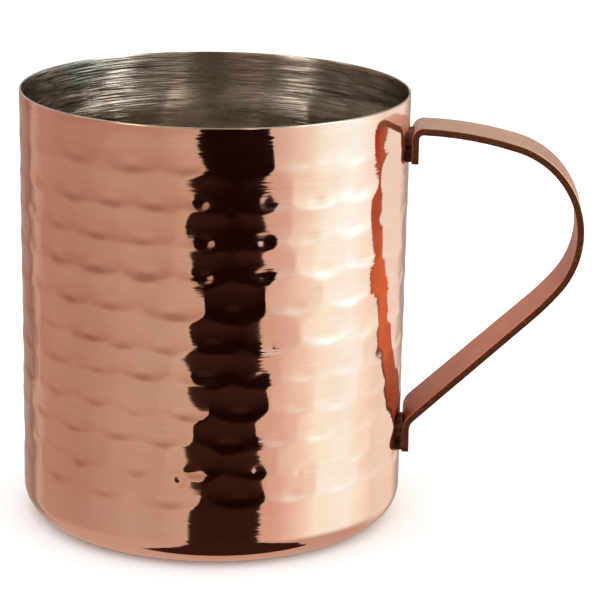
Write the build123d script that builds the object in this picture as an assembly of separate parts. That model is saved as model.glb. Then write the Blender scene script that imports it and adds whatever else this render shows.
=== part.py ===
"""Straight-sided drinking mug: a drawn steel cup under a copper skin, with a bent strap handle.

Millimetres, with +Z up. The origin is the centre of the flat underside, and the handle points
along +X. Each make_ function returns one piece, and main() writes them all as STEP files.
"""

from build123d import *

import math
import os

# Cup
CUP_HEIGHT = 92.0
RIM_RADIUS = 41.0
BASE_RADIUS = 40.7  # the wall opens very slightly towards the rim
BASE_CORNER = 6.0  # radius between the underside and the wall
STEEL_THICKNESS = 0.4
COPPER_THICKNESS = 0.1
BARE_RIM_HEIGHT = 0.3  # bright steel left showing above the copper

# Handle strap: the flat strip
STRAP_WIDTH = 12.5
STRAP_THICKNESS = 1.5
STRAP_END_CORNER = 1.6
FOOT_GAP = 0.45  # each flat foot stands this far off the round wall

# Handle strap: its bends, from the upper end to the lower one.
# Radii are those of the middle of the thickness, and turns are in degrees.
UPPER_END_HEIGHT = 77.6
UPPER_BEND_HEIGHT = 83.2
UPPER_BEND_RADIUS = 1.7
UPPER_BEND_TURN = 91.4
TOP_RADIUS = 75.0
TOP_TURN = 15.3
BOW_RADIUS = 19.1
BOW_TURN = 111.6
EASING_RADIUS = 55.0
EASING_TURN = 8.1
LOWER_BEND_RADIUS = 3.6
LOWER_END_HEIGHT = 14.3

# Welds: two round nuggets, one above the other, fuse each foot to the wall
NUGGET_RADIUS = 1.2
NUGGET_IN_WALL = 0.2
NUGGET_IN_STRAP = 0.6
UPPER_NUGGET_HEIGHTS = (79.4, 82.6)
LOWER_NUGGET_HEIGHTS = (15.9, 19.1)


def wall_radius(height):
    """Outer radius of the straight wall at this height."""
    share = (height - BASE_CORNER) / (CUP_HEIGHT - BASE_CORNER)
    return BASE_RADIUS + (RIM_RADIUS - BASE_RADIUS) * share


def turned_body(depth, top):
    """The solid inside the mug's outer surface moved in by depth, from the base up to top."""
    flat_radius = BASE_RADIUS - BASE_CORNER
    corner_end = (BASE_RADIUS - depth, BASE_CORNER)
    with BuildPart() as body:
        with BuildSketch(Plane.XZ):
            with BuildLine():
                underside = Line((0, depth), (flat_radius, depth))
                corner = RadiusArc(underside @ 1, corner_end, -(BASE_CORNER - depth))
                wall = Line(corner @ 1, (wall_radius(top) - depth, top))
                Polyline(wall @ 1, (0, top), (0, depth))
            make_face()
        revolve(axis=Axis.Z)
    return body.part


def nugget_pair(heights):
    """Two weld nuggets at one foot, each reaching into the wall and into the strap."""
    middle = wall_radius(sum(heights) / 2)
    start = middle - COPPER_THICKNESS - NUGGET_IN_WALL
    end = middle + FOOT_GAP + NUGGET_IN_STRAP
    pair = []
    for height in heights:
        place = Plane(origin=(start, 0, height), z_dir=(1, 0, 0))
        pair.append(extrude(place * Circle(NUGGET_RADIUS), end - start))
    return Compound(children=pair)


def strap_middle_radius(heights):
    """Distance from the mug's axis to the middle of the strap's thickness at one foot."""
    return wall_radius(sum(heights) / 2) + FOOT_GAP + STRAP_THICKNESS / 2


def strap_side(side):
    """The strap's side line in the handle's plane, as edges, this far to the left of its middle."""
    def bend(radius, turn):
        """Adds a bend that follows the last edge; a positive turn is to the left."""
        last = edges[-1]
        own_radius = radius - side if turn > 0 else radius + side
        edges.append(JernArc(last @ 1, last % 1, own_radius, turn))

    upper_x = strap_middle_radius(UPPER_NUGGET_HEIGHTS) - side
    edges = [Line((upper_x, UPPER_END_HEIGHT), (upper_x, UPPER_BEND_HEIGHT))]
    bend(UPPER_BEND_RADIUS, -UPPER_BEND_TURN)
    bend(TOP_RADIUS, -TOP_TURN)
    bend(BOW_RADIUS, -BOW_TURN)
    bend(EASING_RADIUS, -EASING_TURN)

    # The straight brace ends where the lower bend brings the foot to the wall
    brace_turn = 90 - UPPER_BEND_TURN - TOP_TURN - BOW_TURN - EASING_TURN
    foot_turn = -90 - brace_turn
    lower_x = strap_middle_radius(LOWER_NUGGET_HEIGHTS) + side
    bend_radius = LOWER_BEND_RADIUS - side
    bend_reach = bend_radius * (1 - math.cos(math.radians(foot_turn)))
    brace_start = edges[-1] @ 1
    brace_direction = edges[-1] % 1
    brace_length = (lower_x + bend_reach - brace_start.X) / brace_direction.X
    edges.append(Line(brace_start, brace_start + brace_direction * brace_length))
    bend(LOWER_BEND_RADIUS, foot_turn)
    edges.append(Line(edges[-1] @ 1, (lower_x, LOWER_END_HEIGHT)))
    return edges


def make_handle_strap():
    """The flat strip, bent into a foot, a long top, a round bow, a straight brace and a foot."""
    outer = strap_side(STRAP_THICKNESS / 2)
    inner = strap_side(-STRAP_THICKNESS / 2)
    upper_end = Line(outer[0] @ 0, inner[0] @ 0)
    lower_end = Line(outer[-1] @ 1, inner[-1] @ 1)
    outline = Plane.XZ * make_face([*outer, *inner, upper_end, lower_end])
    strap = extrude(outline, STRAP_WIDTH / 2, both=True)
    corners = strap.edges().filter_by(Axis.X)
    return fillet(corners, STRAP_END_CORNER)


def main():
    """Makes every piece, seats the nuggets in their neighbours and writes the STEP files."""
    steel_outside = turned_body(COPPER_THICKNESS, CUP_HEIGHT)
    steel_inside = turned_body(COPPER_THICKNESS + STEEL_THICKNESS, CUP_HEIGHT)
    copper_top = CUP_HEIGHT - BARE_RIM_HEIGHT
    copper_outside = turned_body(0, copper_top)
    copper_inside = turned_body(COPPER_THICKNESS, copper_top)
    upper_nuggets = nugget_pair(UPPER_NUGGET_HEIGHTS)
    lower_nuggets = nugget_pair(LOWER_NUGGET_HEIGHTS)

    seats = [*upper_nuggets.solids(), *lower_nuggets.solids()]
    pieces = {
        "steel_cup": steel_outside - steel_inside - seats,
        "copper_skin": copper_outside - copper_inside - seats,
        "handle_strap": make_handle_strap() - seats,
        "upper_weld_nuggets": upper_nuggets,
        "lower_weld_nuggets": lower_nuggets,
    }
    os.makedirs("parts", exist_ok=True)
    for name, piece in pieces.items():
        export_step(piece, f"parts/{name}.step")


if __name__ == "__main__":
    main()
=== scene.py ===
import bmesh
import bpy
import logging
import math
import random
from collections.abc import Callable
from dataclasses import dataclass, field
from enum import Enum
from mathutils import Matrix, Vector


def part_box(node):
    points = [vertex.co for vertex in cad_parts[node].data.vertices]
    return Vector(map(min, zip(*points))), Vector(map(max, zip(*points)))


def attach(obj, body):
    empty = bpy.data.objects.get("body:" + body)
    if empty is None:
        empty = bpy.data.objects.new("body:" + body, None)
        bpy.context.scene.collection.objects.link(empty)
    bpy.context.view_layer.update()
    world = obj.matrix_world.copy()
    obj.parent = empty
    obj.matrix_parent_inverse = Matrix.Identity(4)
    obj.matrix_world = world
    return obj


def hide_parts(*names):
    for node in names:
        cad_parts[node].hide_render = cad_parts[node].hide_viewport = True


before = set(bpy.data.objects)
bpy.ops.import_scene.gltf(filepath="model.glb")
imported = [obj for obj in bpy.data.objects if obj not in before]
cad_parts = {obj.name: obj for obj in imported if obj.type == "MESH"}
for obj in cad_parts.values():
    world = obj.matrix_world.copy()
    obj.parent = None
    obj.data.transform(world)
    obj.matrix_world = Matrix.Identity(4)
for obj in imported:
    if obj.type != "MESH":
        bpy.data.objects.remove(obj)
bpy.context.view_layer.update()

LOG = logging.getLogger("copper_mug")
MM = 0.001
Colour = tuple[float, float, float]
Span = tuple[float, float]
WHITE: Colour = (1.0, 1.0, 1.0)
FLOOR_GREY: Colour = (0.95, 0.95, 0.95)


# Node trees written as expressions


def operator(operation: str, swapped: bool = False) -> Callable[["Term", "Number"], "Term"]:
    """A method that adds a Math node to a term and a number, the number first if swapped."""

    def method(term: "Term", other: "Number") -> "Term":
        """The result of the operation."""
        pair = (other, term) if swapped else (term, other)
        return term.graph.maths(operation, *pair)

    return method


class Term:
    """One output socket of a node tree, used like a number in an expression."""

    def __init__(self, graph: "Graph", socket: bpy.types.NodeSocket) -> None:
        """Wraps a socket of the graph's tree."""
        self.graph = graph
        self.socket = socket

    def __neg__(self) -> "Term":
        """The term with its sign turned."""
        return self.graph.maths("MULTIPLY", self, -1.0)

    __add__ = operator("ADD")
    __radd__ = operator("ADD", swapped=True)
    __sub__ = operator("SUBTRACT")
    __rsub__ = operator("SUBTRACT", swapped=True)
    __mul__ = operator("MULTIPLY")
    __rmul__ = operator("MULTIPLY", swapped=True)
    __truediv__ = operator("DIVIDE")


Number = Term | float
Options = dict | None


class Graph:
    """Adds nodes to a node tree and links them."""

    def __init__(self, tree: bpy.types.NodeTree) -> None:
        """Starts from a tree whose own nodes are removed."""
        self.tree = tree
        tree.nodes.clear()

    def node(self, kind: str, settings: Options = None, sockets: Options = None) -> bpy.types.Node:
        """Adds one node.

        Args:
            kind: the node's type.
            settings: its properties; "stops" holds a ramp's (place, colour) pairs.
            sockets: values or links of its inputs, by name or number.

        Returns:
            The new node.
        """
        made = self.tree.nodes.new(kind)
        for name, value in (settings or {}).items():
            if name == "stops":
                self._set_stops(made.color_ramp, value)
            else:
                setattr(made, name, value)
        for key, value in (sockets or {}).items():
            self.feed(made.inputs[key], value)
        return made

    def _set_stops(self, ramp: bpy.types.ColorRamp, stops: list[tuple[float, Colour]]) -> None:
        """Gives a ramp these stops, in rising order."""
        for _ in range(len(stops) - 2):
            ramp.elements.new(0.5)
        for element, (place, colour) in zip(ramp.elements, stops):
            element.position = place
            element.color = (*colour, 1.0)

    def feed(self, socket: bpy.types.NodeSocket, value: object) -> None:
        """Links a term to a socket, or sets the socket's own value."""
        if isinstance(value, Term):
            self.tree.links.new(value.socket, socket)
        elif isinstance(value, tuple) and socket.type == "RGBA":
            socket.default_value = (*value[:3], 1.0)
        else:
            socket.default_value = value

    def term(self, node: bpy.types.Node, output: str | int = 0) -> Term:
        """One output of a node, as a term."""
        return Term(self, node.outputs[output])

    def result(self, kind: str, settings: Options = None, sockets: Options = None) -> Term:
        """The first output of a new node."""
        return self.term(self.node(kind, settings, sockets))

    def maths(self, operation: str, *operands: Number) -> Term:
        """A Math node's result."""
        return self.result("ShaderNodeMath", {"operation": operation}, dict(enumerate(operands)))

    def vector_maths(self, operation: str, *operands: object) -> Term:
        """A Vector Math node's result."""
        sockets = dict(enumerate(operands))
        return self.result("ShaderNodeVectorMath", {"operation": operation}, sockets)

    def split(self, vector: Term) -> tuple[Term, Term, Term]:
        """The three components of a vector."""
        node = self.node("ShaderNodeSeparateXYZ", None, {0: vector})
        return self.term(node, 0), self.term(node, 1), self.term(node, 2)

    def join(self, x: Number, y: Number, z: Number) -> Term:
        """A vector of three values."""
        return self.result("ShaderNodeCombineXYZ", None, {0: x, 1: y, 2: z})

    def around(self, angle: Term, radius: Number, height: Number) -> Term:
        """A vector at an angle about Z, counted from -Y towards +X."""
        x = self.maths("SINE", angle) * radius
        y = -self.maths("COSINE", angle) * radius
        return self.join(x, y, height)

    def ease(self, value: Term, low: float, high: float) -> Term:
        """Rises smoothly from 0 at low to 1 at high."""
        settings = {"interpolation_type": "SMOOTHSTEP", "clamp": True}
        return self.result("ShaderNodeMapRange", settings, {0: value, 1: low, 2: high})

    def span(self, value: Term, low: float, high: float, start: float, end: float) -> Term:
        """Maps low to high onto start to end, and clamps."""
        sockets = {0: value, 1: low, 2: high, 3: start, 4: end}
        return self.result("ShaderNodeMapRange", None, sockets)

    def blend(self, share: Number, first: object, second: object, mode: str = "MIX") -> Term:
        """Mixes two colours."""
        node = self.node("ShaderNodeMix", {"data_type": "RGBA", "blend_type": mode})
        self.feed(node.inputs["Factor"], share)
        self.feed(node.inputs[6], first)
        self.feed(node.inputs[7], second)
        return self.term(node, 2)

    def noise(self, place: Term, scale: float, detail: float = 2.0, roughness: float = 0.5) -> Term:
        """A noise texture's value, from 0 to 1."""
        sockets = {"Vector": place, "Scale": scale, "Detail": detail, "Roughness": roughness}
        return self.result("ShaderNodeTexNoise", None, sockets)

    def attribute(self, name: str) -> Term:
        """A number stored on the surface, in a material."""
        return self.term(self.node("ShaderNodeAttribute", {"attribute_name": name}), "Fac")


# Finishes


class Slot(Enum):
    """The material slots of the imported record."""

    BRUSHED_STEEL = "brushed_steel"
    POLISHED_COPPER = "polished_copper"
    SATIN_COPPER = "satin_copper"
    WELD_STEEL = "weld_steel"


@dataclass(frozen=True)
class Finish:
    """What every metal finish shares: a principled material on Object coordinates."""

    slot: Slot

    def material(self) -> bpy.types.Material:
        """Makes the material."""
        made = bpy.data.materials.new(self.slot.value)
        made.use_nodes = True
        graph = Graph(made.node_tree)
        place = graph.term(graph.node("ShaderNodeTexCoord"), "Object")
        colour, roughness, normal = self.surface(graph, place)
        sockets = {"Base Color": colour, "Metallic": 1.0, "Roughness": roughness, "Normal": normal}
        shader = graph.result("ShaderNodeBsdfPrincipled", None, sockets)
        graph.node("ShaderNodeOutputMaterial", None, {"Surface": shader})
        return made

    def surface(self, graph: Graph, place: Term) -> tuple[Term, Term, Term]:
        """The colour, the roughness and the normal."""
        raise NotImplementedError

    def turned(self, graph: Graph, place: Term, lines: Span) -> Term:
        """Noise drawn out around the axis, as a tool leaves it.

        Args:
            graph: the material's graph.
            place: object coordinates.
            lines: the height and the length of one line, in metres.

        Returns:
            A value from 0 to 1.
        """
        x, y, z = graph.split(place)
        across, along = (1 / size for size in lines)
        return graph.noise(graph.join(x * along, y * along, z * across), 1.0, 3.0, 0.6)

    def bump(self, graph: Graph, height: Term, distance: float, below: Term | None = None) -> Term:
        """A bumped normal; distance is the relief's height in metres."""
        sockets = {"Strength": 1.0, "Distance": distance, "Height": height}
        if below is not None:
            sockets["Normal"] = below
        return graph.result("ShaderNodeBump", None, sockets)

    def tipped(self, graph: Graph, normal: Term, push: Term) -> Term:
        """A normal pushed to one side."""
        return graph.vector_maths("NORMALIZE", graph.vector_maths("ADD", normal, push))


@dataclass(frozen=True)
class PolishedCopper(Finish):
    """Bright copper with fine lines around the mug, left by the buffing wheel.

    Comb is how far the lines swing the normal at the wall's radius.
    """

    colour: Colour = (0.975, 0.675, 0.575)
    toned: Colour = (0.930, 0.585, 0.475)
    scored: Colour = (0.840, 0.480, 0.370)
    scored_share: float = 0.26
    roughness: float = 0.03
    comb: float = 0.14
    radius: float = 0.041
    fine: Span = (0.5 * MM, 16 * MM)
    broad: Span = (3.5 * MM, 60 * MM)
    scores: Span = (0.2 * MM, 18 * MM)
    combing: Span = (0.34 * MM, 9 * MM)
    patches: Span = (7 * MM, 14 * MM)
    bloom_scale: float = 55.0

    def surface(self, graph: Graph, place: Term) -> tuple[Term, Term, Term]:
        """The colour, the roughness and the normal."""
        fine = self.turned(graph, place, self.fine)
        broad = self.turned(graph, place, self.broad)
        bloom = graph.noise(place, self.bloom_scale, 3.0, 0.55)
        tone = graph.ease(bloom * 0.7 + broad * 0.3, 0.35, 0.7)
        buffed = graph.blend(tone, self.colour, self.toned)
        scored = graph.ease(self.turned(graph, place, self.scores), 0.42, 0.72) * self.scored_share
        colour = graph.blend(scored, buffed, self.scored)
        roughness = self.roughness + 0.04 * fine + 0.03 * bloom
        waves = self.bump(graph, broad, 0.006 * MM)
        lines = self.bump(graph, fine, 0.003 * MM, waves)
        return colour, roughness, self.combed(graph, place, lines)

    def combed(self, graph: Graph, place: Term, normal: Term) -> Term:
        """Turns the normal a little sideways from line to line, in patches."""
        x, y, _ = graph.split(place)
        line = self.turned(graph, place, self.combing)
        patch = graph.ease(self.turned(graph, place, self.patches), 0.46, 0.66)
        swing = (line - 0.5) * (0.18 + 0.82 * patch) * (self.comb / self.radius)
        return self.tipped(graph, normal, graph.join(-y * swing, x * swing, 0.0))


@dataclass(frozen=True)
class BrushedSteel(Finish):
    """Stainless steel brushed around the cup.

    Comb is how far the lines tip the normal up and down.
    """

    colour: Colour = (0.67, 0.62, 0.555)
    worn: Colour = (0.56, 0.505, 0.44)
    roughness: float = 0.13
    comb: float = 1.6
    hair: Span = (0.16 * MM, 9 * MM)
    streaks: Span = (1.1 * MM, 30 * MM)
    fine: Span = (0.05 * MM, 10 * MM)
    coarse: Span = (0.4 * MM, 18 * MM)

    def surface(self, graph: Graph, place: Term) -> tuple[Term, Term, Term]:
        """The colour, the roughness and the normal."""
        hair = self.turned(graph, place, self.hair)
        streak = self.turned(graph, place, self.streaks)
        tone = graph.ease(0.55 * streak + 0.45 * hair, 0.32, 0.68)
        colour = graph.blend(tone, self.worn, self.colour)
        relief = self.bump(graph, streak, 0.006 * MM)
        return colour, self.roughness + 0.10 * hair, self.combed(graph, place, relief)

    def combed(self, graph: Graph, place: Term, normal: Term) -> Term:
        """Tips the normal up or down from one brushed line to the next."""
        fine = self.turned(graph, place, self.fine)
        coarse = self.turned(graph, place, self.coarse)
        upward = (fine * 0.96 + coarse * 0.04 - 0.5) * self.comb
        return self.tipped(graph, normal, graph.join(0.0, 0.0, upward))


@dataclass(frozen=True)
class SatinCopper(Finish):
    """Plated strip with a satin face and brown, speckled narrow edges. The inner face is coloured
    darker and redder as a painted reflection and shade of the copper wall, and painted shade darkens
    both faces towards the feet.
    """

    face: Colour = (0.95, 0.585, 0.43)
    # painted reflection and shade: the inner face of the loop is coloured darker and redder than the
    # outer face of the same plating
    inner: Colour = (0.84, 0.29, 0.18)
    # painted shade: the dark colour both faces are blended to towards the feet
    painted_foot_shade: Colour = (0.30, 0.10, 0.07)
    edge: Colour = (0.26, 0.10, 0.055)
    fleck: Colour = (0.75, 0.40, 0.27)
    roughness: float = 0.27
    grain_scale: float = 1500.0
    cloud_scale: float = 160.0
    cloud_share: float = 0.16

    def surface(self, graph: Graph, place: Term) -> tuple[Term, Term, Term]:
        """The colour, the roughness and the normal."""
        flank = graph.attribute("flank")
        inside = graph.attribute("inside")
        grain = graph.noise(place, self.grain_scale, 4.0, 0.65)
        cloud = graph.noise(place, self.cloud_scale, 3.0, 0.55)
        # painted reflection and shade: the inner face takes the darker, redder inner colour
        face = graph.blend(inside, self.face, self.inner)
        face = graph.blend(graph.ease(cloud, 0.35, 0.75) * self.cloud_share, face, self.edge)
        # painted shade: both faces darken towards the feet
        face = graph.blend(graph.attribute("shade_near_feet"), face, self.painted_foot_shade)
        side = graph.blend(graph.ease(grain, 0.56, 0.80), self.edge, self.fleck)
        roughness = self.roughness + 0.08 * grain + 0.16 * flank
        relief = self.bump(graph, grain, 0.007 * MM, self.bump(graph, cloud, 0.01 * MM))
        return graph.blend(flank, face, side), roughness, relief


@dataclass(frozen=True)
class WeldSteel(Finish):
    """Resistance weld: dull steel with a brown heat tint."""

    colour: Colour = (0.24, 0.13, 0.10)
    tint: Colour = (0.10, 0.035, 0.025)
    roughness: float = 0.5
    grain_scale: float = 2600.0
    tint_scale: float = 700.0

    def surface(self, graph: Graph, place: Term) -> tuple[Term, Term, Term]:
        """The colour, the roughness and the normal."""
        grain = graph.noise(place, self.grain_scale, 4.0, 0.6)
        tint = graph.ease(graph.noise(place, self.tint_scale, 2.0), 0.35, 0.65)
        colour = graph.blend(tint, self.colour, self.tint)
        return colour, self.roughness + 0.2 * grain, self.bump(graph, grain, 0.03 * MM)


# The hammered cup


@dataclass(frozen=True)
class HammerRow:
    """One row of hammer blows around the wall.

    The height is that of the blows' lower lips, in millimetres. Angles are in degrees from -Y
    towards +X, for the blows that the maker struck unevenly; the rest of the row is even.
    """

    height: float
    angles: tuple[float, ...]
    strength: float = 1.0


HAMMER_ROWS = (
    HammerRow(82.8, (-72, -55, -38, -19, -3, 13, 29, 48), 0.6),
    HammerRow(75.0, (-70, -55, -40, -26, -13, 2, 19, 34, 50)),
    HammerRow(68.0, (-74, -62, -46, -31, -16, 1, 18, 32, 48)),
    HammerRow(60.8, (-72, -62, -47, -31, -15, 1, 18, 37, 53)),
    HammerRow(53.5, (-70, -56, -41, -26, -7, 10, 28, 47)),
    HammerRow(46.0, (-64, -49, -33, -22, -10, 4, 21, 39, 54)),
    HammerRow(39.5, (-67, -48, -31, -16, 2, 17, 31, 45)),
    HammerRow(32.2, (-66, -49, -32, -19, -4, 12, 29, 42)),
    HammerRow(26.0, (-72, -56, -40, -23, -10, 9, 23, 36, 54)),
    HammerRow(19.4, (-75, -61, -47, -37, -17, -1, 16, 32, 50)),
    HammerRow(13.8, (-66, -48, -29, -8, 12, 28, 44)),
)


@dataclass(frozen=True)
class Blow:
    """A single blow off the rows or harder than its row; degrees and millimetres."""

    angle: float
    height: float
    half_width: float = 1.6
    half_height: float = 1.6
    depth: float = 0.20


SINGLE_BLOWS = (
    Blow(21, 48.2),
    Blow(-4.8, 19.2),
    Blow(17.0, 21.4),
    Blow(30, 20),
    Blow(19, 77.2, depth=0.12),
    Blow(1.0, 79.0, 5.0, 3.9, 0.17),
    Blow(18.6, 79.2, 4.8, 3.9, 0.15),
    Blow(2.0, 71.4, 5.2, 4.4, 0.21),
    Blow(18.6, 71.4, 5.0, 4.4, 0.19),
    Blow(1.8, 63.9, 5.0, 3.8, 0.19),
    Blow(18.6, 63.9, 4.8, 3.6, 0.17),
    Blow(3.2, 43.0, 5.0, 3.6, 0.14),
    Blow(17.8, 43.0, 4.8, 3.6, 0.13),
)


@dataclass
class HammerPattern:
    """Where the blows fall, and how wide and how deep each is.

    Sizes are in metres. The spacing and angle_play are in degrees, height_play in millimetres,
    and unevenness is a share of the depth. A blow's middle is lip_share of half its height
    above its lower lip.
    """

    rows: tuple[HammerRow, ...] = HAMMER_ROWS
    singles: tuple[Blow, ...] = SINGLE_BLOWS
    spacing: float = 16.4
    half_width: float = 6.7 * MM
    half_height: float = 4.2 * MM
    depth: float = 0.16 * MM
    lip_share: float = 0.86
    angle_play: float = 1.6
    height_play: float = 0.35
    unevenness: float = 0.30
    seed: int = 11

    def row_angles(self, row: HammerRow, chance: random.Random) -> list[float]:
        """The row's own angles, and even ones with a little play in the rest of the round."""
        gap_start = row.angles[-1]
        gap = row.angles[0] + 360 - gap_start
        count = round(gap / self.spacing)
        play = self.angle_play
        even = [gap_start + gap * i / count + chance.uniform(-play, play) for i in range(1, count)]
        return [*row.angles, *even]

    def points(self) -> bpy.types.Object:
        """A scratch mesh with one point for each blow.

        Returns:
            The object. A point's place is (angle in radians, height, 0), and its attributes
            are half_width, half_height and depth.
        """
        chance = random.Random(self.seed)
        places = []
        values = {name: [] for name in ("half_width", "half_height", "depth")}
        for row in self.rows:
            for angle in self.row_angles(row, chance):
                lip = row.height * MM + chance.uniform(-self.height_play, self.height_play) * MM
                middle = lip + self.half_height * self.lip_share
                places.append((math.radians(angle), middle, 0.0))
                for name in values:
                    size = getattr(self, name) * (row.strength if name == "depth" else 1.0)
                    play = self.unevenness if name == "depth" else self.unevenness / 3
                    values[name].append(size * (1 + chance.uniform(-1, 1) * play))
        for blow in self.singles:
            places.append((math.radians(blow.angle), blow.height * MM, 0.0))
            for name in values:
                values[name].append(getattr(blow, name) * MM)
        mesh = bpy.data.meshes.new("hammer_blows")
        mesh.from_pydata(places, [], [])
        for name, numbers in values.items():
            mesh.attributes.new(name, "FLOAT", "POINT").data.foreach_set("value", numbers)
        return linked("hammer_blows", mesh)


class PressedWallTree:
    """The Geometry Nodes that turn a profile about Z and press every hammer blow into it."""

    INPUTS = (
        ("Geometry", "Geometry"),
        ("Blows", "Object"),
        ("Segments", "Int"),
        ("Profile Points", "Int"),
        ("Wall Radius", "Float"),
        ("Lip Lean", "Float"),
        ("Dimple", "Float"),
        ("Softening", "Int"),
        ("Finish", "Material"),
    )
    ROUND_SHARE = 0.45
    SQUARE_SHARE = 0.55
    DIMPLE_DROP = 0.56
    DIMPLE_NARROWING = 2.2
    DIMPLE_FLATTENING = 2.3
    WELD_DISTANCE = 0.002 * MM

    def __init__(self) -> None:
        """Builds the tree."""
        self.tree = bpy.data.node_groups.new("pressed_wall", "GeometryNodeTree")
        for name, kind in self.INPUTS:
            self.add_socket(name, "INPUT", kind)
        self.add_socket("Geometry", "OUTPUT", "Geometry")
        self.graph = Graph(self.tree)
        self.given = self.graph.node("NodeGroupInput")
        turned = self.turn_profile()
        pressed = self.press_blows(turned)
        self.finish(pressed)

    def add_socket(self, name: str, way: str, kind: str) -> None:
        """Adds an input or an output to the tree."""
        self.tree.interface.new_socket(name, in_out=way, socket_type="NodeSocket" + kind)

    def asked(self, name: str) -> Term:
        """One named input of the tree."""
        return self.graph.term(self.given, name)

    def stored(self, name: str) -> Term:
        """A float attribute of the geometry at hand."""
        return self.graph.result("GeometryNodeInputNamedAttribute", None, {"Name": name})

    def store(self, geometry: Term, name: str, value: Number) -> Term:
        """The geometry with a float attribute stored on it."""
        sockets = {"Geometry": geometry, "Name": name, "Value": value}
        return self.graph.result("GeometryNodeStoreNamedAttribute", None, sockets)

    def sampled(self, geometry: Term, value: Term, index: Term, kind: str = "FLOAT") -> Term:
        """A value at one numbered point of a geometry."""
        sockets = {"Geometry": geometry, "Value": value, "Index": index}
        return self.graph.result("GeometryNodeSampleIndex", {"data_type": kind}, sockets)

    def position(self) -> Term:
        """The place of the point at hand."""
        return self.graph.result("GeometryNodeInputPosition")

    def turn_profile(self) -> Term:
        """A closed surface of revolution, from a grid wrapped about Z."""
        graph = self.graph
        segments = self.asked("Segments")
        points = self.asked("Profile Points")
        sizes = {"Vertices X": segments + 1.0, "Vertices Y": points}
        grid = graph.result("GeometryNodeMeshGrid", None, sizes)
        index = graph.result("GeometryNodeInputIndex")
        column = graph.maths("FLOOR", (index + 0.5) / points)
        row = index - column * points
        profile = self.asked("Geometry")
        place = self.sampled(profile, self.position(), row, "FLOAT_VECTOR")
        radius, _, height = graph.split(place)
        pressed = self.store(grid, "press", self.sampled(profile, self.stored("press"), row))
        wrapped = graph.around(column / segments * math.tau, radius, height)
        turned = {"Geometry": pressed, "Position": wrapped}
        surface = graph.result("GeometryNodeSetPosition", None, turned)
        merged = {"Geometry": surface, "Distance": self.WELD_DISTANCE}
        return graph.result("GeometryNodeMergeByDistance", None, merged)

    def press_blows(self, geometry: Term) -> Term:
        """Runs through the blows and keeps the deepest at every point, as attribute depth."""
        graph = self.graph
        x, y, z = graph.split(self.position())
        geometry = self.store(geometry, "angle", graph.maths("ARCTAN2", x, -y))
        geometry = self.store(geometry, "height", z)
        geometry = self.store(geometry, "depth", 0.0)
        blows = graph.node("GeometryNodeObjectInfo", None, {"Object": self.asked("Blows")})
        marks = graph.term(blows, "Geometry")
        domain = graph.node("GeometryNodeAttributeDomainSize", None, {0: marks})
        start = graph.node("GeometryNodeRepeatInput")
        end = graph.node("GeometryNodeRepeatOutput")
        start.pair_with_output(end)
        graph.feed(start.inputs["Iterations"], graph.term(domain, "Point Count"))
        graph.feed(start.inputs["Geometry"], geometry)
        turn = graph.term(start, "Iteration")

        def of_blow(value: Term, kind: str = "FLOAT") -> Term:
            """A value of the blow whose turn it is."""
            return self.sampled(marks, value, turn, kind)

        blow_angle, blow_height, _ = graph.split(of_blow(self.position(), "FLOAT_VECTOR"))
        round_way = graph.maths("WRAP", self.stored("angle") - blow_angle, math.pi, -math.pi)
        across = round_way * self.asked("Wall Radius") / of_blow(self.stored("half_width"))
        up = (self.stored("height") - blow_height) / of_blow(self.stored("half_height"))
        sides = across * across * (self.ROUND_SHARE + self.SQUARE_SHARE * across * across)
        reach = graph.maths("MAXIMUM", 1.0 - sides - up * up, 0.0)
        lean = 1.0 - self.asked("Lip Lean") * up
        beside = across * self.DIMPLE_NARROWING
        above = (up + self.DIMPLE_DROP) * self.DIMPLE_FLATTENING
        dimple = graph.maths("MAXIMUM", 1.0 - beside * beside - above * above, 0.0)
        form = reach * lean + self.asked("Dimple") * dimple * dimple
        bowl = of_blow(self.stored("depth")) * form
        deepest = graph.maths("MAXIMUM", self.stored("depth"), bowl)
        pressed = self.store(graph.term(start, "Geometry"), "depth", deepest)
        graph.feed(end.inputs["Geometry"], pressed)
        return graph.term(end, "Geometry")

    def finish(self, geometry: Term) -> None:
        """Moves the surface in by the depth, smooths its shading and sets its material."""
        graph = self.graph
        softened = {"Value": self.stored("depth"), "Iterations": self.asked("Softening")}
        depth = graph.result("GeometryNodeBlurAttribute", None, softened)
        inward = -(depth * self.stored("press"))
        offset = graph.around(self.stored("angle"), inward, 0.0)
        moved = {"Geometry": geometry, "Offset": offset}
        for kind in ("SetPosition", "SetShadeSmooth", "RealizeInstances"):
            moved = {"Geometry": graph.result("GeometryNode" + kind, None, moved)}
        dressed = {**moved, "Material": self.asked("Finish")}
        coated = graph.result("GeometryNodeSetMaterial", None, dressed)
        graph.node("NodeGroupOutput", None, {"Geometry": coated})


@dataclass(frozen=True)
class ProfilePoint:
    """A point of a turned profile, and how far the blows move it, as a share of their depth."""

    radius: float
    height: float
    press: float = 0.0


Profile = list[ProfilePoint]


@dataclass(frozen=True)
class BlowShape:
    """How a surface takes the blows.

    Lean is how much deeper a blow is at its lower lip than at its middle. Dimple is the depth of
    the small pit above the lip, as a share of the blow's. Softening counts blurring rounds.
    """

    lean: float
    dimple: float
    softening: int


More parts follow.
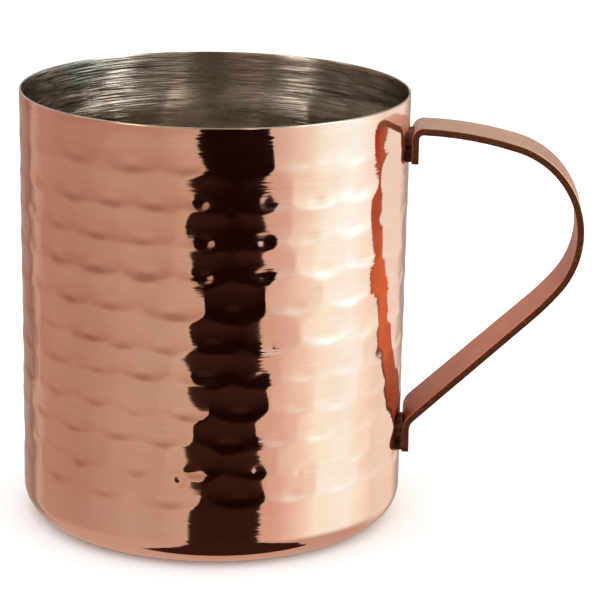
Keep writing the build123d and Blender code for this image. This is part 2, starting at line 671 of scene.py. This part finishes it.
@dataclass
class Cup:
    """The drawn steel cup and the copper skin around it; sizes in metres.

    The backs are the hidden sides, where skin and liner face each other. Bulge is how much
    deeper the blows are inside than outside.
    """

    tree: PressedWallTree
    blows: bpy.types.Object
    base_radius: float = 40.7 * MM
    corner_radius: float = 6.0 * MM
    copper: float = 0.1 * MM
    steel: float = 0.4 * MM
    segments: int = 468
    row_pitch: float = 0.56 * MM
    bulge: float = 2.2
    plain_inside: float = 84.5 * MM
    edge_lift: float = 0.12 * MM
    skin_back: float = 0.30 * MM
    liner_back: float = 0.32 * MM
    back_top: float = 3.5 * MM
    back_pitch: float = 8 * MM
    neck: float = 2 * MM
    top: float = field(init=False)
    copper_top: float = field(init=False)
    rim_radius: float = field(init=False)

    def __post_init__(self) -> None:
        """Takes the heights and the rim's radius from the frame."""
        self.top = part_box("steel_cup")[1].z
        self.copper_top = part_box("copper_skin")[1].z + self.edge_lift
        self.rim_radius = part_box("copper_skin")[1].y

    def wall_radius(self, height: float) -> float:
        """Outer radius of the plain wall at this height."""
        share = (height - self.corner_radius) / (self.top - self.corner_radius)
        return self.base_radius + (self.rim_radius - self.base_radius) * share

    def wall(self, depth: float, low: float, high: float, pitch: float, press: float) -> Profile:
        """Points up the wall, moved in by depth."""
        steps = max(1, round((high - low) / pitch))
        heights = [low + (high - low) * i / steps for i in range(steps + 1)]
        return [ProfilePoint(self.wall_radius(z) - depth, z, press) for z in heights]

    def bottom(self, depth: float, steps: int) -> Profile:
        """Points from the axis along the base and up the corner, moved in by depth."""
        flat = self.base_radius - self.corner_radius
        bend = self.corner_radius - depth
        along = [ProfilePoint(flat * i / steps, depth) for i in range(steps)]
        turns = [math.pi / 2 * i / (2 * steps) for i in range(2 * steps + 1)]
        around = [
            ProfilePoint(flat + bend * math.sin(t), self.corner_radius - bend * math.cos(t))
            for t in turns
        ]
        return [*along, *around]

    def rounded_top(self, outer: float, inner: float, top: float, steps: int) -> Profile:
        """A half-round lip from radius outer to radius inner, with its crown at top."""
        middle = (outer + inner) / 2
        half = (outer - inner) / 2
        turns = [math.pi * i / (2 * steps) for i in range(2 * steps + 1)]
        return [
            ProfilePoint(middle + half * math.cos(t), top - half + half * math.sin(t))
            for t in turns
        ]

    def skin_profile(self) -> Profile:
        """The copper skin: outside up to its cut edge, and back down the hidden side."""
        radius = self.wall_radius(self.copper_top)
        start = self.corner_radius + self.row_pitch
        outside = self.wall(0.0, start, self.copper_top - self.copper, self.row_pitch, 1.0)
        edge = self.rounded_top(radius, radius - self.copper, self.copper_top, 2)
        plain = self.wall(self.copper, self.top - self.neck, self.top - 1 * MM, 1 * MM, 0.0)
        back = self.wall(self.skin_back, start, self.top - self.back_top, self.back_pitch, 0.0)
        hidden = [*self.bottom(self.copper, 4), *back, *plain]
        return [*self.bottom(0.0, 7), *outside, *edge, *hidden[::-1]]

    def liner_profile(self) -> Profile:
        """The steel cup: hidden outside, rounded lip, and the brushed inside."""
        thickness = self.copper + self.steel
        start = self.corner_radius + self.row_pitch
        radius = self.wall_radius(self.top)
        back = self.wall(self.liner_back, start, self.top - self.back_top, self.back_pitch, 0.0)
        neck_top = self.copper_top - 0.1 * MM
        neck = self.wall(self.copper, self.top - self.neck, neck_top, 1 * MM, 0.0)
        lip = self.rounded_top(radius - self.copper * 0.6, radius - thickness, self.top, 4)
        wall = self.wall(thickness, start, self.top - 1 * MM, 1.5 * self.row_pitch, 1.0)
        pressed = [ProfilePoint(p.radius, p.height, self.inner_press(p.height)) for p in wall]
        inside = [*self.bottom(thickness, 7), *pressed]
        return [*self.bottom(self.copper, 4), *back, *neck, *lip, *inside[::-1]]

    def inner_press(self, height: float) -> float:
        """How far the blows move the inside at this height, fading out below the plain top."""
        return self.bulge * min(1.0, max(0.0, (self.plain_inside - height) / (2 * MM)))

    def turn(
        self,
        name: str,
        profile: Profile,
        segments: int,
        finish: Finish,
        press: BlowShape,
    ) -> bpy.types.Object:
        """Runs the node tree on a profile and keeps the result as a plain mesh.

        Args:
            name: the piece's name.
            profile: its closed section, from the axis round to the axis.
            segments: how many faces go around.
            finish: what it is dressed in.
            press: how the blows shape this surface.

        Returns:
            The piece, in place.
        """
        mesh = bpy.data.meshes.new(name + "_profile")
        mesh.from_pydata([(p.radius, 0.0, p.height) for p in profile], [], [])
        stored = mesh.attributes.new("press", "FLOAT", "POINT")
        stored.data.foreach_set("value", [p.press for p in profile])
        carrier = linked(name + "_profile", mesh)
        modifier = carrier.modifiers.new("pressed_wall", "NODES")
        modifier.node_group = self.tree.tree
        values = {
            "Blows": self.blows,
            "Segments": segments,
            "Profile Points": len(profile),
            "Wall Radius": self.rim_radius,
            "Lip Lean": press.lean,
            "Dimple": press.dimple,
            "Softening": press.softening,
            "Finish": finish.material(),
        }
        for item in self.tree.tree.interface.items_tree:
            if item.in_out == "INPUT" and item.name in values:
                modifier[item.identifier] = values[item.name]
        piece = evaluated_copy(carrier, name)
        bpy.data.objects.remove(carrier)
        return piece

    def build(self) -> None:
        """Makes the skin and the liner, and puts them in the frame."""
        skin_finish = PolishedCopper(Slot.POLISHED_COPPER)
        profile = self.skin_profile()
        shape = BlowShape(0.42, 0.52, 0)
        skin = self.turn("hammered_copper_skin", profile, self.segments, skin_finish, shape)
        place_piece(skin, skin_finish.slot, "copper_skin")
        liner_finish = BrushedSteel(Slot.BRUSHED_STEEL)
        profile = self.liner_profile()
        segments = self.segments * 3 // 4
        shape = BlowShape(-0.5, 0.0, 4)
        liner = self.turn("steel_cup_liner", profile, segments, liner_finish, shape)
        place_piece(liner, liner_finish.slot, "steel_cup")


# The handle


@dataclass(frozen=True)
class Station:
    """A place on the strap's middle line: where it is, which way it runs, and how far along."""

    x: float
    z: float
    heading: float
    travelled: float


@dataclass
class HandleStrap:
    """The flat strip bent into a foot, a long top, a round bow, a straight brace and a foot.

    Lengths are in metres, and bends are (middle radius, clockwise turn in degrees). Lean is the
    strap's tilt to the side in degrees, at its upper and its lower end.
    """

    wall: Cup
    width: float = 12.5 * MM
    thickness: float = 1.5 * MM
    foot_gap: float = 0.45 * MM
    upper_end: float = 77.6 * MM
    upper_bend: float = 83.2 * MM
    bends: tuple[Span, ...] = (
        (1.7 * MM, 91.4),
        (75.0 * MM, 15.3),
        (19.1 * MM, 111.6),
        (55.0 * MM, 8.1),
    )
    lower_bend_radius: float = 3.6 * MM
    lower_end: float = 14.3 * MM
    weld_heights: Span = (81.0 * MM, 17.5 * MM)
    edge_rounding: float = 0.18 * MM
    end_corner: float = 1.6 * MM
    flank_cosine: float = 0.8
    corner_turns: tuple[float, ...] = (0.0, 22.5, 45.0, 67.5, 90.0)
    face_shares: tuple[float, ...] = (0.015, 0.12, 0.3, 0.5, 0.7, 0.88, 0.985)
    lean: Span = (1.5, -7.0)
    # how far from each end of the strap the painted shade near the feet reaches
    foot_shade_reach: float = 30 * MM
    degrees_per_step: float = 2.5
    stations: list[Station] = field(default_factory=list)

    def run(self, length: float, steps: int) -> None:
        """Goes straight on from the last station."""
        last = self.stations[-1]
        for i in range(1, steps + 1):
            way = length * i / steps
            x = last.x + way * math.cos(last.heading)
            z = last.z + way * math.sin(last.heading)
            self.stations.append(Station(x, z, last.heading, last.travelled + way))

    def bend(self, radius: float, turn: float) -> None:
        """Bends clockwise from the last station, or the other way if the turn is negative."""
        last = self.stations[-1]
        side = math.copysign(1.0, turn)
        centre_x = last.x + side * radius * math.sin(last.heading)
        centre_z = last.z - side * radius * math.cos(last.heading)
        steps = max(3, round(abs(turn) / self.degrees_per_step))
        for i in range(1, steps + 1):
            heading = last.heading - math.radians(turn) * i / steps
            x = centre_x - side * radius * math.sin(heading)
            z = centre_z + side * radius * math.cos(heading)
            way = radius * math.radians(abs(turn)) * i / steps
            self.stations.append(Station(x, z, heading, last.travelled + way))

    def lay_out(self) -> None:
        """Works out the middle line from the upper foot to the lower one."""
        radii = [self.wall.wall_radius(height) for height in self.weld_heights]
        upper, lower = (radius + self.foot_gap + self.thickness / 2 for radius in radii)
        self.stations = [Station(upper, self.upper_end, math.pi / 2, 0.0)]
        self.run(self.end_corner, 8)
        self.run(self.upper_bend - self.upper_end - self.end_corner, 4)
        for radius, turn in self.bends:
            self.bend(radius, turn)
        last = self.stations[-1]
        foot_turn = last.heading + math.pi / 2
        reach = self.lower_bend_radius * (1 - math.cos(foot_turn))
        brace = (lower + reach - last.x) / math.cos(last.heading)
        self.run(brace, 24)
        self.bend(self.lower_bend_radius, -math.degrees(-math.pi / 2 - last.heading))
        foot = self.stations[-1].z - self.lower_end
        self.run(foot - self.end_corner, 4)
        self.run(self.end_corner, 8)

    def section(self) -> list[tuple[float, float, float, float]]:
        """The strip's rounded section.

        Returns:
            (y, outward offset, flank, inside) for each point, going round.
        """
        half, deep, round_off = self.width / 2, self.thickness / 2, self.edge_rounding
        points = []
        corners = ((-1, 1, 180), (1, 1, 90), (1, -1, 0), (-1, -1, -90))
        for side, face, start in corners:
            centre_y = side * (half - round_off)
            centre_n = face * (deep - round_off)
            inside = 1.0 if face < 0 else 0.0
            for corner_turn in self.corner_turns:
                turn = math.radians(start - corner_turn)
                y = centre_y + round_off * math.cos(turn)
                n = centre_n + round_off * math.sin(turn)
                flank = 1.0 if abs(math.cos(turn)) > self.flank_cosine else 0.0
                points.append((y, n, flank, inside))
            if side * face < 0:
                for share in self.face_shares:
                    y = centre_y + (-centre_y - centre_y) * share
                    points.append((y, face * deep, 0.0, inside))
        return points

    def narrowing(self, travelled: float, length: float) -> float:
        """How much of the half width is left beside a rounded end corner."""
        left = min(travelled, length - travelled)
        if left >= self.end_corner:
            return 1.0
        missing = self.end_corner - left
        cut = self.end_corner - math.sqrt(self.end_corner**2 - missing**2)
        return 1.0 - cut / (self.width / 2)

    def build(self) -> None:
        """Makes the strap and puts it in the frame."""
        self.lay_out()
        length = self.stations[-1].travelled
        section = self.section()
        shape = bmesh.new()
        layers = [shape.verts.layers.float.new(name) for name in ("flank", "inside", "shade_near_feet")]
        rings = []
        for station in self.stations:
            share = station.travelled / length
            lean = math.radians(self.lean[0] + (self.lean[1] - self.lean[0]) * share)
            narrow = self.narrowing(station.travelled, length)
            from_end = min(station.travelled, length - station.travelled)
            # painted shade near the feet: strongest at each end of the strap, fading out along it
            shade_near_feet = max(0.0, 1.0 - from_end / self.foot_shade_reach) ** 1.2
            ring = []
            for y, n, flank, inside in section:
                x = station.x - n * math.sin(station.heading)
                tilt = (y + self.width / 2) * math.sin(lean)
                z = station.z + n * math.cos(station.heading) - tilt
                vertex = shape.verts.new((x, y * narrow, z))
                # painted shade, deeper on the inner face than on the outer face
                painted_foot_shade = shade_near_feet * (0.45 + 0.55 * inside)
                for layer, value in zip(layers, (flank, inside, painted_foot_shade)):
                    vertex[layer] = value
                ring.append(vertex)
            rings.append(ring)
        finish = SatinCopper(Slot.SATIN_COPPER)
        strap = tube("strap_handle", shape, rings, finish.material())
        place_piece(strap, finish.slot, "handle_strap")


def tube(
    name: str,
    shape: bmesh.types.BMesh,
    rings: list[list[bmesh.types.BMVert]],
    material: bpy.types.Material,
) -> bpy.types.Object:
    """A closed tube of rings of vertices, shaded smooth, with one flat face at either end."""
    count = len(rings[0])
    for first, second in zip(rings, rings[1:]):
        for i in range(count):
            j = (i + 1) % count
            shape.faces.new((first[i], first[j], second[j], second[i]))
    shape.faces.new(rings[0])
    shape.faces.new(rings[-1])
    bmesh.ops.recalc_face_normals(shape, faces=shape.faces)
    piece = piece_from(name, shape, material)
    for polygon in piece.data.polygons:
        polygon.use_smooth = len(polygon.vertices) == 4
    piece.data.set_sharp_from_angle(angle=math.radians(40))
    return piece


# Pieces and the frame


def linked(name: str, data: bpy.types.ID) -> bpy.types.Object:
    """A new object of this data, in the scene."""
    made = bpy.data.objects.new(name, data)
    bpy.context.scene.collection.objects.link(made)
    return made


def evaluated_copy(source: bpy.types.Object, name: str) -> bpy.types.Object:
    """A plain mesh object of what the source's modifiers make, facing outwards."""
    bpy.context.view_layer.update()
    evaluated = source.evaluated_get(bpy.context.evaluated_depsgraph_get())
    mesh = bpy.data.meshes.new_from_object(evaluated)
    mesh.name = name
    shape = bmesh.new()
    shape.from_mesh(mesh)
    if shape.calc_volume(signed=True) < 0:
        bmesh.ops.reverse_faces(shape, faces=shape.faces)
    shape.to_mesh(mesh)
    shape.free()
    return linked(name, mesh)


def piece_from(
    name: str, shape: bmesh.types.BMesh, material: bpy.types.Material
) -> bpy.types.Object:
    """An object of this shape in this material."""
    mesh = bpy.data.meshes.new(name)
    shape.to_mesh(mesh)
    shape.free()
    mesh.materials.append(material)
    return linked(name, mesh)


def place_piece(piece: bpy.types.Object, slot: Slot, *nodes: str) -> None:
    """Puts a finished piece on the frame's one body, in place of CAD nodes."""
    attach(piece, "root")
    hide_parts(*nodes)
    LOG.info("%s: %d faces, for %s", piece.name, len(piece.data.polygons), ", ".join(nodes))


@dataclass
class FootWelds:
    """The two nuggets behind each foot and the metal squeezed out around them, in metres."""

    wall: Cup
    strap: HandleStrap
    half_width: float = 5.4 * MM
    margin: float = 1.0 * MM
    buried: float = 0.35 * MM
    points: int = 72
    waist: float = 0.25 * MM
    squareness: int = 4
    lump_waves: tuple[int, ...] = (2, 3, 5, 8, 13)
    depths: tuple[float, ...] = (0.0, 0.3, 0.5, 0.7, 1.0)
    seed: int = 5

    def outline(self, centre: float, half_height: float, shrink: float) -> list[tuple[float, float]]:
        """A lumpy rounded outline as (y, z) pairs, the same at every depth but for its shrink."""
        chance = random.Random(self.seed)
        lumps = [
            (k, chance.uniform(0, math.tau), chance.uniform(0.05, 0.16) * MM)
            for k in self.lump_waves
        ]
        pairs = []
        for i in range(self.points):
            turn = math.tau * i / self.points
            cosine, sine = math.cos(turn), math.sin(turn)
            lump = sum(size * math.cos(k * turn + phase) for k, phase, size in lumps)
            power = self.squareness
            square = (abs(cosine) ** power + abs(sine) ** power) ** (-1 / power)
            y = (self.half_width - shrink + lump) * cosine * square
            z = centre + (half_height - shrink + lump) * sine * square
            pairs.append((y, z))
        return pairs

    def build_one(self, node: str, material: bpy.types.Material, slot: Slot) -> None:
        """Makes the weld at one foot, in place of the frame's nuggets."""
        low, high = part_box(node)
        centre = (low.z + high.z) / 2
        half_height = (high.z - low.z) / 2 + self.margin / 2
        radius = self.wall.wall_radius(centre)
        foot = radius + self.strap.foot_gap
        shape = bmesh.new()
        rings = []
        for depth in self.depths:
            shrink = self.waist * (1 - (2 * depth - 1) ** 2)
            ring = []
            for y, z in self.outline(centre, half_height, shrink):
                start = math.sqrt(radius**2 - y**2) - self.buried
                ring.append(shape.verts.new((start + (foot + self.buried - start) * depth, y, z)))
            rings.append(ring)
        piece = tube(node.replace("nuggets", "seam"), shape, rings, material)
        place_piece(piece, slot, node)

    def build(self) -> None:
        """Makes both welds."""
        finish = WeldSteel(Slot.WELD_STEEL)
        material = finish.material()
        for node in ("upper_weld_nuggets", "lower_weld_nuggets"):
            self.build_one(node, material, finish.slot)


# Studio


Card = tuple[float, float, float, float]
CARDS: tuple[Card, ...] = (
    (-168, 0.46, 0.43, 0.40), (-160, 0.38, 0.33, 0.30), (-152, 0.40, 0.27, 0.225),
    (-144, 0.38, 0.235, 0.19), (-136, 0.30, 0.17, 0.13), (-128, 0.55, 0.40, 0.32),
    (-118, 0.47, 0.28, 0.21), (-80, 0.45, 0.28, 0.215), (-46, 0.51, 0.335, 0.26),
    (-29, 0.50, 0.335, 0.255), (-8, 0.58, 0.41, 0.31), (40, 0.70, 0.56, 0.47),
    (46, 0.75, 0.63, 0.55), (54, 0.85, 0.82, 0.72), (62, 0.94, 0.98, 0.88),
    (70, 1.01, 1.28, 1.24), (95, 1.02, 1.40, 1.45), (103, 1.02, 1.25, 1.23),
    (111, 1.01, 1.12, 1.05), (120, 0.90, 0.95, 0.90), (128, 0.90, 0.98, 0.92),
    (148, 0.94, 0.86, 0.78), (162, 0.45, 0.36, 0.31), (176, 0.40, 0.37, 0.34),
)
UPPER_CARDS: tuple[Card, ...] = (
    (-176, 0.62, 0.56, 0.51), (-110, 0.62, 0.56, 0.51), (-92, 0.15, 0.13, 0.11),
    (-84, 1.80, 1.65, 1.42), (-76, 0.15, 0.13, 0.11), (-62, 0.12, 0.10, 0.08),
    (-54, 3.00, 2.75, 2.45), (-44, 3.00, 2.75, 2.45), (-36, 0.55, 0.48, 0.40),
    (-22, 0.80, 0.70, 0.58), (-10, 0.40, 0.34, 0.27), (2, 0.03, 0.02, 0.015),
    (21, 0.03, 0.02, 0.015), (26, 3.20, 2.90, 2.45), (31, 0.60, 0.53, 0.45),
    (50, 0.80, 0.72, 0.62), (62, 3.90, 3.70, 3.40), (82, 4.40, 4.20, 3.90),
    (98, 0.80, 0.72, 0.64), (112, 0.62, 0.56, 0.51), (176, 0.62, 0.56, 0.51),
)


@dataclass(frozen=True)
class Surround:
    """The soft studio that the metal mirrors: pale walls, copper-toned cards and a dark gap.

    A card is an azimuth in degrees from -Y towards +X, and a colour. An edge is where one part
    fades into the next, as the z of a direction, or its -z for what is low.
    """

    cards: tuple[Card, ...] = CARDS
    headroom: float = 4.0
    gap_azimuth: float = 16.6
    gap_spread: float = 0.345
    gap_flare: float = 0.12
    gap_floor_flare: float = 1.0
    gap_softness: float = 0.012
    gap_slants: tuple[tuple[float, ...], ...] = ((0.2, 0.40, 0.0, 0.10), (0.45, 0.7, 0.0, -0.17))
    horizon_edge: Span = (-0.27, -0.04)
    upper_edge: Span = (0.08, 0.18)
    overhead_edge: Span = (0.66, 0.86)
    low_edge: Span = (0.20, 0.36)
    gap_low_edge: Span = (0.26, 0.40)
    underneath_edge: Span = (0.42, 0.66)
    gap_high: Colour = (0.010, 0.003, 0.002)
    gap_low: Colour = (0.036, 0.014, 0.009)
    left_high: Colour = (0.68, 0.63, 0.60)
    right_high: Colour = (1.10, 1.28, 1.40)
    left_low: Colour = (1.05, 1.18, 1.20)
    right_low: Colour = (1.00, 0.92, 0.88)
    upper_cards: tuple[Card, ...] = UPPER_CARDS
    overhead: Colour = (0.42, 0.39, 0.35)
    overhead_behind: Colour = (1.00, 0.78, 0.44)
    underneath: Colour = (0.58, 0.41, 0.325)
    room: Colour = (1.45, 1.45, 1.45)

    def build(self) -> None:
        """Makes the world."""
        world = bpy.data.worlds.new("soft_surround")
        world.use_nodes = True
        bpy.context.scene.world = world
        world.cycles.sampling_method = "NONE"
        graph = Graph(world.node_tree)
        way = graph.term(graph.node("ShaderNodeTexCoord"), "Generated")
        colour = self.mirrored(graph, way)
        glossy = graph.term(graph.node("ShaderNodeLightPath"), "Is Glossy Ray")
        plain = graph.result("ShaderNodeBackground", None, {"Color": self.room, "Strength": 1.0})
        sockets = {"Color": colour, "Strength": self.headroom}
        cards = graph.result("ShaderNodeBackground", None, sockets)
        both = graph.result("ShaderNodeMixShader", None, {0: glossy, 1: plain, 2: cards})
        graph.node("ShaderNodeOutputWorld", None, {"Surface": both})

    def mirrored(self, graph: Graph, way: Term) -> Term:
        """The surround's colour in a direction, divided by headroom."""
        x, y, z = graph.split(way)
        turn = graph.maths("ARCTAN2", x, -y) / math.tau + 0.5
        right = graph.ease(x, -0.1, 0.5)
        high = graph.blend(right, self.left_high, self.right_high)
        high = graph.blend(graph.ease(y, 0.1, 0.4), high, WHITE)
        low = graph.blend(right, self.left_low, self.right_low)
        tint = graph.blend(graph.ease(z, *self.horizon_edge), WHITE, high)
        tint = graph.blend(graph.ease(-z, *self.low_edge), tint, low)
        cards = graph.blend(1.0, self.ring(graph, turn, self.cards), tint, "MULTIPLY")
        upper = self.ring(graph, turn, self.upper_cards)
        behind = graph.ease(y, 0.0, 0.4)
        overhead = self.fade(graph, behind, self.overhead, self.overhead_behind)
        upper = graph.blend(graph.ease(z, *self.overhead_edge), upper, overhead)
        cards = graph.blend(graph.ease(z, *self.upper_edge), cards, upper)
        below = graph.ease(-z, *self.underneath_edge)
        cards = graph.blend(below, cards, self.scaled(self.underneath))
        dark = self.fade(graph, graph.ease(-z, *self.gap_low_edge), self.gap_high, self.gap_low)
        return graph.blend(self.gap(graph, x, y, z), cards, dark)

    def ring(self, graph: Graph, turn: Term, cards: tuple[Card, ...]) -> Term:
        """Cards all the way round, each blended into the next."""
        stops = [(0.5 + azimuth / 360, self.scaled(colour)) for azimuth, *colour in cards]
        return graph.result("ShaderNodeValToRGB", {"stops": stops}, {"Fac": turn})

    def fade(self, graph: Graph, share: Term, first: Colour, second: Colour) -> Term:
        """Goes from one of the surround's colours to another."""
        return graph.blend(share, self.scaled(first), self.scaled(second))

    def gap(self, graph: Graph, x: Term, y: Term, z: Term) -> Term:
        """1 inside the dark gap between the two sides of the surround, 0 outside it."""
        sine = math.sin(math.radians(self.gap_azimuth))
        cosine = math.cos(math.radians(self.gap_azimuth))
        ahead = x * sine - y * cosine
        slant = graph.span(-z, *self.gap_slants[0]) + graph.span(-z, *self.gap_slants[1])
        aside = graph.maths("ABSOLUTE", x * cosine + y * sine + slant)
        half = self.gap_spread * ahead + self.gap_flare * graph.maths("MAXIMUM", -z, 0.0)
        half = half + self.gap_floor_flare * graph.maths("MAXIMUM", -z - 0.5, 0.0)
        inside = graph.ease(half - aside, 0.0, self.gap_softness)
        return inside * graph.ease(ahead, 0.0, 0.05) * (1.0 - graph.ease(z, *self.upper_edge))

    def scaled(self, colour: Colour) -> Colour:
        """A colour divided by headroom, so that no ramp stop passes 1."""
        return tuple(part / self.headroom for part in colour)


@dataclass(frozen=True)
class Viewpoint:
    """The camera; lengths in metres, angles in radians."""

    distance: float = 522.8 * MM
    height: float = 196.1 * MM
    swing: float = math.radians(4.23)
    yaw: float = -0.03839
    pitch: float = 0.27981
    roll: float = 0.01923
    lens: float = 152.2

    def build(self) -> None:
        """Makes the camera and looks through it."""
        flat = math.cos(self.pitch)
        x, y = math.sin(self.yaw) * flat, math.cos(self.yaw) * flat
        ahead = Vector((x, y, -math.sin(self.pitch)))
        level = Vector((math.cos(self.yaw), -math.sin(self.yaw), 0))
        upright = level.cross(ahead)
        right = math.cos(self.roll) * level + math.sin(self.roll) * upright
        up = math.cos(self.roll) * upright - math.sin(self.roll) * level
        data = bpy.data.cameras.new("camera")
        data.lens = self.lens
        data.clip_start = 0.01
        camera = linked("camera", data)
        place = Vector((math.sin(self.swing), -math.cos(self.swing), 0)) * self.distance
        place.z = self.height
        turned = Matrix((right, up, -ahead)).transposed().to_4x4()
        camera.matrix_world = Matrix.Translation(place) @ turned
        bpy.context.scene.camera = camera


def build_floor() -> None:
    """A plain pale floor under the mug, which the metal doesn't mirror."""
    shape = bmesh.new()
    bmesh.ops.create_grid(shape, x_segments=2, y_segments=2, size=4.0)
    material = bpy.data.materials.new("pale_floor")
    material.use_nodes = True
    graph = Graph(material.node_tree)
    shader = graph.result("ShaderNodeBsdfDiffuse", None, {"Color": FLOOR_GREY})
    graph.node("ShaderNodeOutputMaterial", None, {"Surface": shader})
    floor = piece_from("floor", shape, material)
    floor.visible_glossy = False


def main() -> None:
    """Builds the mug and its studio."""
    logging.basicConfig(level=logging.INFO, format="%(name)s: %(message)s")
    bpy.context.scene.view_settings.view_transform = "Standard"
    Viewpoint().build()
    Surround().build()
    build_floor()
    blows = HammerPattern().points()
    cup = Cup(PressedWallTree(), blows)
    cup.build()
    bpy.data.objects.remove(blows)
    strap = HandleStrap(cup)
    strap.build()
    FootWelds(cup, strap).build()


if __name__ == "__main__":
    main()
